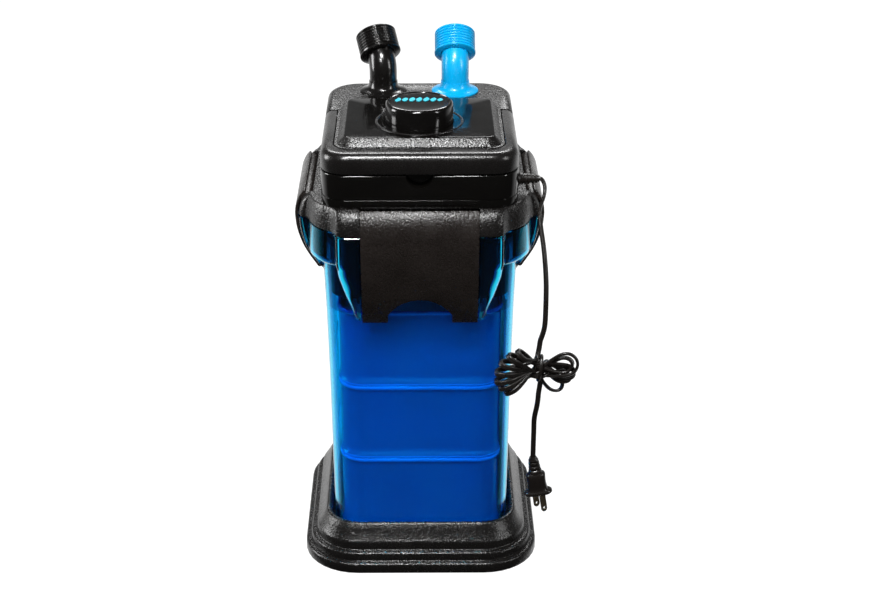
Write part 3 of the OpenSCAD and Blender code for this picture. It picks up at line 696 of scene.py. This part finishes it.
TOP_Z = RIM_Z - 0.4
PAINTED_SHADE_FROM = 272  # the inner skin above this height takes the deeper tint: painted shade that darkens the ears and the canister's top
OUTER_Z = [4, 6, 28, BASE_H, 80, 120, 160, 200, 240, 262, 266.9, 267.15, 267.7, 268.6, 270, 272, 274.5,
           278, 283, 289, 296, 302, 306, 307, 309, 312, 316, 320, 322, 324, 325.5, 327, 328.5, 331,
           335, 340, 346, 352.5, TOP_Z - 0.6, TOP_Z]
INNER_Z = [TOP_Z, 350, 344, 338, 333, 330, 328, 326, 323, 319, 315, 312, 310, 309.2, 308.8, 304, 296,
           289, 283, 278, 275, 272.5, 271, 270.3, 269.9, 240, 200, 160, 120, 80, BASE_H, 36, FLOOR_Z]
LIP, LIP_SCALE = {TOP_Z: 0.8, TOP_Z - 0.6: 0.25}, 110
rings = [at_z(canister_plan(z, WALL), z) for z in (28, 4)]
for z in OUTER_Z:
    share = 1 - LIP.get(z, 0) / LIP_SCALE
    rings.append([(x * share, y * share, z) for x, y in canister_plan(z, 0)])
rings += [at_z(canister_plan(z, WALL), z) for z in INNER_Z]
canister = piece(skin("clear_canister", rings), M["clear_blue"], "canister",
                 ("canister_body",), angle=40)
canister.data.materials.append(M["clear_painted_shade"])
# painted shade: the inner faces of the upper canister and its ears take the deeper tint
for f in canister.data.polygons:
    if f.normal.x * f.center.x + f.normal.y * f.center.y < 0 and f.center.z > PAINTED_SHADE_FROM * MM:
        f.material_index = 1


# ---------- baskets ----------
# insets at heights over the basket's foot, then insets at heights under its rim, then the inside
BASKET_LOW = [(1.5, 0), (0.4, 0.4), (0, 1.2), (0.2, 2.2), (1.3, 3), (1.6, 12), (1.9, 40)]
BASKET_HIGH = [(1.6, 8), (1.5, 4.6), (0.3, 3.8), (0, 2.6), (0, 1.2), (0.5, 0.3), (1.4, 0), (2.6, 0.2),
               (3.4, 1.2), (3.6, 6)]
BASKET_INSIDE = (3.6, 2.6)
STACK_GAP, RIM_BAND, FOOT_BAND = 0.3, 4.2, 2.2


def basket(word, k, body):
    """One basket of the stack, with painted highlight bands of lighter blue at its rim and its foot."""
    z0, z1 = FLOOR_Z + k * PITCH + STACK_GAP, FLOOR_Z + (k + 1) * PITCH
    prof = [(d, z0 + z) for d, z in BASKET_LOW] + [(d, z1 - z) for d, z in BASKET_HIGH]
    prof.append((BASKET_INSIDE[0], z0 + BASKET_INSIDE[1]))
    rings = [at_z(square(BASKET_HALF - d, BASKET_R - d), z) for d, z in prof]
    ob = piece(skin("basket_" + word, rings), M["deep_blue"], body, (word + "_basket",),
               angle=60)
    ob.data.materials.append(M["rim_blue_painted_highlight"])
    # painted highlight: faces near the rim and the foot take the lighter blue
    for f in ob.data.polygons:
        if f.center.z > (z1 - RIM_BAND) * MM or f.center.z < (z0 + FOOT_BAND) * MM:
            f.material_index = 1


for k, (word, body) in enumerate((("lower", "basket_low"), ("middle", "basket_mid"),
                                  ("upper", "basket_top"))):
    basket(word, k, body)


# ---------- pump head: shoulder ----------
BUMP_R = 10  # rounding at the ends of the shoulder's bumps
SHELL_SLACK, R_LOSS, R_INSET, BUMP_INSET = 0.5, 6, 0.5, 0.3
FAN = (0, 15, 30, 45, 60, 75, 90)


def shoulder_plan(c, r, e, h, n=7):
    """Rounded square of half width c with a bump of reach e per side. h: half widths of the
    bumps at front/rear and left/right."""
    out = []
    rise = min(1, max(0, (e - c) / EAR_BLEND))
    for k, (ca, sa) in enumerate(QUARTERS):
        f, g = h[(k + 1) % 2], h[k % 2]
        a0, a1 = (corner_start(v, c, r) for v in (f, g))
        bend = [a0 + (90 - a0 - a1) * i / (n + 1) for i in range(1, n + 1)]
        pts = [(e, -f + 2 * f * i / 8) for i in range(1, 8)]
        pts += [(e - BUMP_R * (1 - cosd(a)) * rise, f - BUMP_R * (1 - sind(a))) for a in FAN]
        pts += [(c - r + r * cosd(a), c - r + r * sind(a)) for a in bend]
        pts += [(g - BUMP_R * (1 - sind(a)), e - BUMP_R * (1 - cosd(a)) * rise) for a in FAN[::-1]]
        out += [(x * ca - y * sa, x * sa + y * ca) for x, y in pts]
    return out


def shoulder(a, d=0.0, z=None):
    """The shoulder's outline at angle a of its rise from rim to foot, drawn in by d."""
    t = 1 - cosd(a)
    pts = shoulder_plan(COLLAR_HALF - (COLLAR_HALF - SHELL_HALF + SHELL_SLACK) * t - d,
                        COLLAR_R - R_LOSS * t - d * R_INSET,
                        EAR_REACH - (EAR_REACH - SHELL_HALF) * t - d,
                        [h - d * BUMP_INSET for h in EAR_HALF])
    return at_z(pts, RIM_Z + (FOOT_Z - RIM_Z) * sind(a) if z is None else z)


SHELL_EDGE = ((1.6, 0), (0.6, 0.3), (0.1, 1.0))  # insets and heights of the lower edge
SHELL_RISE = (5, 10, 16, 22, 28, 34, 40, 46, 52, 58, 64, 70, 76, 82, 88, 90)
SHELL_INSIDE = ((86, FOOT_Z), (86, FOOT_Z - 3), (SHELL_BORE, FOOT_Z - 3.5), (SHELL_BORE, RIM_Z))
rings = [shoulder(0, d, RIM_Z + z) for d, z in SHELL_EDGE] + [shoulder(a) for a in SHELL_RISE]
INSIDE_R, INSIDE_FLAT = 34, (70, 70)
rings += [at_z(shoulder_plan(h - 0.02, INSIDE_R, h, INSIDE_FLAT), z) for h, z in SHELL_INSIDE]
shell = skin("head_shoulder", rings, closed=True)


def rod(radius, half, n=48):
    """A round bar along x."""
    spots = [(radius * cosd(360 * i / n), radius * sind(360 * i / n)) for i in range(n)]
    return extruded("rod", spots, half)


for q in range(4):
    groove = moved(rod(GROOVE_R, LATCH_HALF + 1), turn(90 * q, "Z") @ shift(0, -LATCH_Y, LATCH_Z))
    combine(shell, [groove])
bevel(shell, 0.7, 2, 50)
piece(shell, M["textured_black"], "pump_head", ("head_shell",), angle=38)


# ---------- pump head: block, deck, carry handle, plate ----------
BLOCK_R = (25, 32)
FOOT_REAR, FOOT_TOP, BLOCK_LOW = 100, 391, 390
NOTCH_R, NOTCH_HALF, NOTCH_Y = 12.3, 11, 4
DECK_ROUND, DECK_JOINT, SPLIT_Y = 7.5, 28, 25.4  # the deck and the handle meet between the last two
CORE = (78, -81, 60, 13, 13)
HANDLE_INNER = (78.5, -81.6, 80, 13.5, 10)
PLATE_PLAN = (75.3, -80, 46, 14, 14)
CUT, HOLES_Z = 30, 432  # half length and height of the rods that cut upright holes
TAP_HOLE_R, WELL_CLEAR, KNOB_CLEAR = 13.9, 2.6, 0.7
FLAT, GLOSS_DEPTH, KNOB_ZONE = 0.93, 0.4, 46  # what counts as the plate's bevel
FAR, CUT_Z = 140, (400, 460)  # the boxes that keep a part of the block's top


def block_plan(d=0.0):
    return plan(BLOCK_HALF, BLOCK_FRONT, BLOCK_REAR, *BLOCK_R, d, 12)


def slab_box(x, y0, y1, z0, z1):
    """A plain box, to cut or keep a part of something."""
    return rounded("box", lambda d: [(x, y1), (-x, y1), (-x, y0), (x, y0)], z0, z1, 0, 0, 1)


def upright(radius, x, y, z, n=48):
    """An upright rod, to cut a hole."""
    return moved(rod(radius, CUT, n), shift(x, y, z) @ turn(90, "Y"))


foot = rounded("foot", lambda d: plan(BLOCK_HALF, BLOCK_FRONT, FOOT_REAR, *BLOCK_R, d, 12),
               FOOT_Z - 0.5, FOOT_TOP, 0.2, 0.0)
block = rounded("pump_block", block_plan, BLOCK_LOW, LEDGE_Z, 1.3, 2.5)
combine(block, [foot], "UNION")
notch = shift(0, BLOCK_FRONT + NOTCH_Y, LEDGE_Z + 0.3) @ turn(90, "Z")
combine(block, [moved(rod(NOTCH_R, NOTCH_HALF), notch)])
bevel(block, 0.6, 2, 60)
piece(block, M["gloss_black"], "pump_head", (), angle=40)

core = rounded("core", lambda d: plan(*CORE, d), LEDGE_Z - 0.5, DECK_Z, 0.4, 0)
deck = rounded("rear_deck", block_plan, LEDGE_Z - 0.2, DECK_Z, DECK_ROUND, 0.0, 8)
combine(deck, [slab_box(FAR, DECK_JOINT, FAR, *CUT_Z)], "INTERSECT")
combine(deck, [core], "UNION")
for s in (-1, 1):
    combine(deck, [upright(TAP_HOLE_R, s * TAP_X, TAP_Y, HOLES_Z)])
combine(deck, [upright(KNOB_R + WELL_CLEAR, 0, KNOB_Y, HOLES_Z)])
bevel(deck, 0.6, 2, 60)
piece(deck, M["textured_black"], "pump_head", ("motor_housing",), angle=40)

# the handle: a band round the deck, with its outside first and then its inside from the top
BAND_EDGE = ((1.2, 416), (0.35, 416.35), (0, 417.2))
BAND_INSIDE = ((1.2, DECK_Z), (0.35, DECK_Z - 0.35), (0, DECK_Z - 1.2), (0, 417), (0.8, 416))
rings = [at_z(block_plan(d), z) for d, z in BAND_EDGE]
rings += [at_z(block_plan(DECK_ROUND * (1 - cosd(a))), DECK_Z - DECK_ROUND * (1 - sind(a)))
          for a in range(0, 91, 10)]
rings += [at_z(plan(*HANDLE_INNER, -d, 12), z) for d, z in BAND_INSIDE]
handle = skin("carry_band", rings, closed=True)
combine(handle, [slab_box(FAR, -FAR, SPLIT_Y, *CUT_Z)], "INTERSECT")
bevel(handle, 0.5, 2, 60)
piece(handle, M["satin_black"], "handle", ("carry_handle",), angle=40)

PLATE = [(0.2, DECK_Z), (0, DECK_Z + 0.4), (0.4, DECK_Z + 1.0), (6.0, PLATE_Z - 0.7),
         (6.6, PLATE_Z - 0.15), (7.4, PLATE_Z)]
plate = skin("centre_plate", [at_z(plan(*PLATE_PLAN, d, 12), z) for d, z in PLATE])
combine(plate, [upright(KNOB_R + KNOB_CLEAR, 0, KNOB_Y, DECK_Z, 96)])
piece(plate, M["gloss_black"], "pump_head", ("top_plate",), angle=40)
# the bevels of the plate are grained, and its top and the hole's wall are glossy
plate.data.materials.append(M["textured_black"])
for f in plate.data.polygons:
    from_knob = abs(f.center.y / MM - KNOB_Y) + abs(f.center.x / MM)
    below = f.center.z < (PLATE_Z - GLOSS_DEPTH) * MM
    if f.normal.z < FLAT and below and from_knob > KNOB_ZONE:
        f.material_index = 1

BEAD = [(38.6, -0.6), (38.9, 0.35), (39.6, 0.8), (40.4, 0.8), (41.0, 0.35), (41.3, -0.6)]
bead = moved(lathe("knob_ring", BEAD, 128), shift(0, KNOB_Y, PLATE_Z))
piece(bead, M["satin_black"], "pump_head")

# ---------- primer knob ----------
# insets from the knob's radius and heights under its top
KNOB_TOP = [(0, 3.2), (0.2, 2.0), (0.8, 0.9), (1.8, 0.2), (2.8, 0), (3.5, 0.3), (4.0, 1.1), (4.2, 1.6),
            (4.2, 4), (2.5, 4)]
KNOB_FOOT = 434
KNOB = [(KNOB_R - 2.5, KNOB_FOOT), (KNOB_R, KNOB_FOOT)] + [(KNOB_R - d, KNOB_Z - z) for d, z in KNOB_TOP]
knob = moved(lathe("primer_cap", KNOB, 128), shift(0, KNOB_Y, 0))
piece(knob, M["knob_black"], "primer", ("primer_knob",))
DISC_R = KNOB_R - 4.15
DISC = [(0.01, 1.9), (DISC_R * 0.5, 1.8), (DISC_R * 0.85, 1.4), (DISC_R, 0.9), (DISC_R, 3), (0.01, 3)]
disc = lathe("primer_disc", [(r, KNOB_Z - z) for r, z in DISC], 128)
piece(moved(disc, shift(0, KNOB_Y, 0)), M["knob_black"], "primer", ("primer_badge",))

# a row of seven drops in place of the printed word
DROP_TALL = (5.6, 4.7, 5.15, 5.6, 5.15, 4.7, 4.25)
DROP_WIDE, DROP_PITCH, DROP_LEAN, DROP_POINT = 2.8, 6.6, 0.9, 0.45
ROW_Y, ROW_CURVE = 9.5, 0.0024
DROP_LOW, DROP_HIGH = KNOB_Z - 2.12, KNOB_Z - 1.37
drops = []
for i, tall in enumerate(DROP_TALL):
    x = (i - 3) * DROP_PITCH
    outline = []
    for j in range(24):
        c, s = cosd(15 * j), sind(15 * j)
        width = DROP_WIDE * (1 - DROP_POINT * max(0, s) ** 2)
        outline.append((x + width * c + DROP_LEAN * s, KNOB_Y + ROW_Y - ROW_CURVE * x * x + tall * s))
    drops.append(skin("drop", [at_z(outline, DROP_LOW), at_z(outline, DROP_HIGH)]))
piece(joined("primer_mark", drops), M["badge"], "primer")


# ---------- taps and hose nuts ----------
FLANGE = [(BORE_R, 412), (13.1, 412), (13.1, 434.9), (20, 434.9), (23, 435.0), (23.2, 435.4),
          (23.0, 436.3), (22.0, 437.0), (18.6, 438.2), (16.2, 439.4), (14.9, 441.2), (14.2, 443.8),
          (14.0, 446), (BORE_R, 446)]
TUBE_FOOT, BEND_Z, BEND_R = (445, 450), 455, 18
TUBE_STEPS = (0, 6, 12, 18, 21.4)
SIDES = (("black", "left", -1, TAP_SPIN), ("blue", "right", 1, 0))


def tube_ring(p, t, radius):
    """A ring round the point p of a line with direction t."""
    side = np.array((1.0, 0, 0))
    up = np.cross(side, t)
    return [tuple(p + radius * (side * cosd(a) + up * sind(a))) for a in range(0, 360, 6)]


def tap(colour, word, side, spin):
    """A bent tube on a flange."""
    path = [(0, 0, z) for z in TUBE_FOOT + (BEND_Z,)]
    path += [(0, BEND_R * (1 - cosd(a)), BEND_Z + BEND_R * sind(a)) for a in range(6, 43, 6)]
    y0, z0 = BEND_R * (1 - cosd(TAP_LEAN)), BEND_Z + BEND_R * sind(TAP_LEAN)
    path += [(0, y0 + s * sind(TAP_LEAN), z0 + s * cosd(TAP_LEAN)) for s in TUBE_STEPS]
    pts = np.array(path, float)
    tang = np.gradient(pts, axis=0)
    tang /= np.linalg.norm(tang, axis=1)[:, None]
    rings = [tube_ring(p, t, TUBE_R) for p, t in zip(pts, tang)]
    rings += [tube_ring(p, t, BORE_R) for p, t in zip(pts[::-1], tang[::-1])]
    name = "tap_" + colour
    ob = joined(name + "_elbow", [lathe("flange", FLANGE, 96), skin("tube", rings, closed=True)])
    moved(ob, shift(side * TAP_X, TAP_Y, 0) @ turn(spin, "Z"))
    piece(ob, M[name], "tap_" + word, (word + "_tap",), angle=42)


# the nut's ends as (radius, height), and one rib as a radius and a share of the pitch
NUT_LOW = [(TUBE_R + 0.15, 0.6), (TUBE_R + 0.6, 0), (NUT_R - 0.6, 0), (NUT_R + 0.3, 0.7),
           (NUT_R + 0.4, 2.2), (NUT_R - 0.5, 2.8)]
NUT_RIB = [(NUT_R - 1.6, 0), (NUT_R - 1.5, 0.16), (NUT_R - 0.3, 0.34), (NUT_R, 0.52),
           (NUT_R - 0.1, 0.8), (NUT_R - 0.5, 0.95)]
NUT_HIGH = [(NUT_R - 0.95, NUT_H - 0.7), (NUT_R - 1.6, NUT_H), (NUT_R - 3.4, NUT_H),
            (NUT_R - 4.4, NUT_H - 0.8), (TUBE_R + 1.2, NUT_H - 5), (TUBE_R + 0.15, NUT_H - 5.8)]
NUT_RIBS, RIBS_FROM, RIBS_LONG = 7, 3.0, 20.4


def nut(colour, word, side, spin):
    """A ribbed hose nut on the end of a tap."""
    pitch = RIBS_LONG / NUT_RIBS
    ribs = [(r, RIBS_FROM + i * pitch + z * pitch) for i in range(NUT_RIBS) for r, z in NUT_RIB]
    ob = lathe("nut_" + colour + "_ribbed", NUT_LOW + ribs + NUT_HIGH, 96)
    moved(ob, shift(side * TAP_X, TAP_Y, 0) @ turn(spin, "Z") @ shift(0, 0, CORNER_Z)
          @ turn(-TAP_LEAN, "X") @ shift(0, 0, NUT_START))
    name = "tap_" + colour
    piece(ob, M[name], "nut_" + word, (word + "_nut",), angle=42)


for side in SIDES:
    tap(*side)
for side in SIDES:
    nut(*side)

# ---------- latches ----------
# heights and distances of the covers' faces: front/rear, then left/right
LATCH_FACES = (
    [(267, 96.5), (275, 100.5), (284, 104.2), (296, 108), (308, 111), (325, 114.2), (343, 116.3),
     (RIM_Z, 117)],
    [(306, 96.5), (310, 99), (316, 103), (323, 107.2), (331, 111), (341, 114.3), (350, 116.2),
     (RIM_Z, 117)],
)
LATCH_T, LATCH_GAP, LATCH_OVER = 3.1, (0.5, 3.5), 66
ARCH_R, ARCH_HALF, ARCH_DROP, ARCH_Z, ARCH_Y = 33.2, 30, -20, EAR_LOW[0] - 5, (-140, -80)
BARREL_R = 5.5


def over(a, gap):
    """A point at the given gap outside the shoulder's rise, as (distance, height)."""
    p, q = EAR_REACH - SHELL_HALF, FOOT_Z - RIM_Z
    n = np.array([cosd(a) / p, sind(a) / q])
    n /= np.linalg.norm(n)
    return (EAR_REACH - p * (1 - cosd(a)) + gap * n[0], RIM_Z + q * sind(a) + gap * n[1])


def latch(q, word):
    """A latch cover on the front, made there and turned by q quarter turns."""
    name = "latch_" + word + "_cover"
    face = smooth_line([(y, z, 0) for z, y in LATCH_FACES[q % 2]], 4.0)[:-1, :2]
    low, high = LATCH_GAP
    outer = [(y, z) for y, z in face] + [over(a, high) for a in range(0, LATCH_OVER + 1, 6)]
    inner = [over(a, low) for a in range(LATCH_OVER, -1, -6)]
    inner += [(y - LATCH_T, z) for y, z in face[::-1]]
    ob = extruded(name, [(-y, z) for y, z in outer + inner], LATCH_HALF)
    if q % 2 == 0:
        arch = [(ARCH_R * cosd(a), ARCH_R * sind(a)) for a in np.linspace(0, 180, 49)]
        arch = [(max(-ARCH_HALF, min(ARCH_HALF, x)), z) for x, z in arch]
        arch += [(-ARCH_HALF, ARCH_DROP), (ARCH_HALF, ARCH_DROP)]
        combine(ob, [skin("arch", [[(x, y, ARCH_Z + z) for x, z in arch] for y in ARCH_Y])])
    bevel(ob, 1.1, 3, 38)
    barrel = moved(rod(BARREL_R, LATCH_HALF + 0.6, 40), shift(0, -LATCH_Y, LATCH_Z))
    bevel(barrel, 0.5, 2, 60)
    ob = joined(name, [ob, barrel])
    moved(ob, turn(90 * q, "Z"))
    piece(ob, M["latch_black"], "latch_" + word, (word + "_latch",), angle=40)


for q, word in enumerate(("front", "right", "rear", "left")):
    latch(q, word)

# ---------- primer spring, pressed together by the piston ----------
COIL_R, COIL_WIRE, COIL_TURNS, COIL_STEP = 12, 0.9, 5, 12
COIL_LOW, COIL_HIGH, COIL_FOOT, COIL_PRESSED = 409.2, 428.8, 408, 0.537
coil_rows = []
for a in range(0, 360 * COIL_TURNS + 1, COIL_STEP):
    z = COIL_LOW + (COIL_HIGH - COIL_LOW) * a / (360 * COIL_TURNS)
    coil_rows.append((COIL_R * cosd(a), KNOB_Y + COIL_R * sind(a), z, cosd(a), sind(a), 0))
wire = [(COIL_WIRE * cosd(b), COIL_WIRE * sind(b)) for b in range(0, 360, 45)]
coil = piece(sweep("primer_coil_spring", np.array(coil_rows, float), wire), M["steel"],
             "pump_head", ("primer_spring",))
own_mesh(coil)

# ---------- CAD nodes that keep their shape, by material ----------
KEPT = {
    "deep_blue": ("bypass_duct",),
    "inner_black": ("lower_housing", "seal_gasket", "shaft_bushes", "impeller_cover", "outlet_duct",
                    "intake_duct", "primer_barrel", "primer_piston", "left_seal", "right_seal"),
    "steel": ("stator_core", "cover_screws", "latch_pins", "handle_pins"),
    "copper": ("stator_coils",),
    "magnet": ("rotor_magnet",),
    "white_plastic": ("impeller_vanes",),
    "ceramic": ("ceramic_rings", "impeller_shaft"),
    "foam": ("coarse_foam",),
    "carbon": ("carbon_pouch",),
    "floss": ("polishing_pad",),
}
for key, names in KEPT.items():
    for name in names:
        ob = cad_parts[name]
        ob.data.materials.clear()
        ob.data.materials.append(M[key])

# ---------- floor: pale, and unseen by reflected and transmitted light ----------
FLOOR_REACH, FLOOR_DEPTHS = 9000, (0.3, 8)
FLOOR_TONE, GLOW, GLOW_SHARE = 0.9, 1.16, 0.86
floor_mat, nt, bsdf, out = shader("floor")
bsdf.inputs["Base Color"].default_value = (FLOOR_TONE, FLOOR_TONE, FLOOR_TONE, 1)
bsdf.inputs["Roughness"].default_value = 0.9
glow = add(nt, "ShaderNodeEmission")
glow.inputs["Strength"].default_value = GLOW
mix = add(nt, "ShaderNodeMixShader")
mix.inputs[0].default_value = GLOW_SHARE
nt.links.new(bsdf.outputs[0], mix.inputs[1])
nt.links.new(glow.outputs[0], mix.inputs[2])
nt.links.new(mix.outputs[0], out.inputs["Surface"])
corners = [(x * FLOOR_REACH, y * FLOOR_REACH) for x, y in ((1, 1), (-1, 1), (-1, -1), (1, -1))]
floor = skin("floor", [at_z(corners, -z) for z in FLOOR_DEPTHS])
floor.data.materials.append(floor_mat)
floor.visible_glossy = False
floor.visible_diffuse = False
floor.visible_transmission = False

# ---------- world: white to the camera, and otherwise darker below and in front ----------
# each is low and high strength, and from and to along y or z
BEHIND, BELOW, THROUGH = (0.0, 1.0, 0.1, 0.6), (1.0, 0.10, -0.1, 0.3), (0.04, 1.0, 0.0, 0.35)
AMBIENT = 0.03
world = bpy.data.worlds.new("studio")
scene.world = world
world.use_nodes = True
nt = world.node_tree
back = nt.nodes["Background"]
tc = add(nt, "ShaderNodeTexCoord")
sep = add(nt, "ShaderNodeSeparateXYZ")
nt.links.new(tc.outputs["Generated"], sep.inputs[0])
around = maths(nt, "MULTIPLY_ADD", ramp(nt, sep.outputs[1], *BEHIND), ramp(nt, sep.outputs[2], *BELOW))
around.node.inputs[2].default_value = AMBIENT
path = add(nt, "ShaderNodeLightPath")
through = maths(nt, "MULTIPLY", path.outputs["Is Transmission Ray"], ramp(nt, sep.outputs[1], *THROUGH))
seen = maths(nt, "MAXIMUM", path.outputs["Is Camera Ray"], through)
nt.links.new(maths(nt, "MAXIMUM", seen, around), back.inputs["Strength"])
back.inputs["Color"].default_value = (1, 1, 1, 1)

# ---------- lamps: place, aim, size in metres, power in watts ----------
LAMPS = {
    "overhead": ((-0.1, -0.75, 1.6), (0, 0, 0.3), (0.3, 0.2), 24),
    "front_left": ((-0.45, -1.35, 1.6), (0, 0, 0.3), (0.22, 0.22), 14),
    "back_strip": ((0.0, 1.3, 1.6), (0, 0, 0.4), (1.2, 0.3), 22),
    "left_box": ((-1.4, 0.1, 0.6), (0, 0, 0.2), (0.4, 0.8), 14),
    "right_box": ((1.6, -0.9, 1.0), (0, 0, 0.3), (0.2, 0.9), 10),
    "blue_fill": ((0.0, -1.8, 0.5), (0, 0, 0.2), (1.6, 0.6), 9),
}
UNREFLECTED = ("blue_fill",)
for name, (place, aim, size, power) in LAMPS.items():
    data = bpy.data.lights.new(name, "AREA")
    data.shape = "RECTANGLE"
    data.size, data.size_y = size
    data.energy = power
    ob = bpy.data.objects.new(name, data)
    scene.collection.objects.link(ob)
    ob.location = place
    ob.rotation_euler = (Vector(aim) - Vector(place)).to_track_quat("-Z", "Y").to_euler()
    ob.visible_glossy = name not in UNREFLECTED

scene.view_settings.view_transform = "Standard"
scene.view_settings.look = "None"
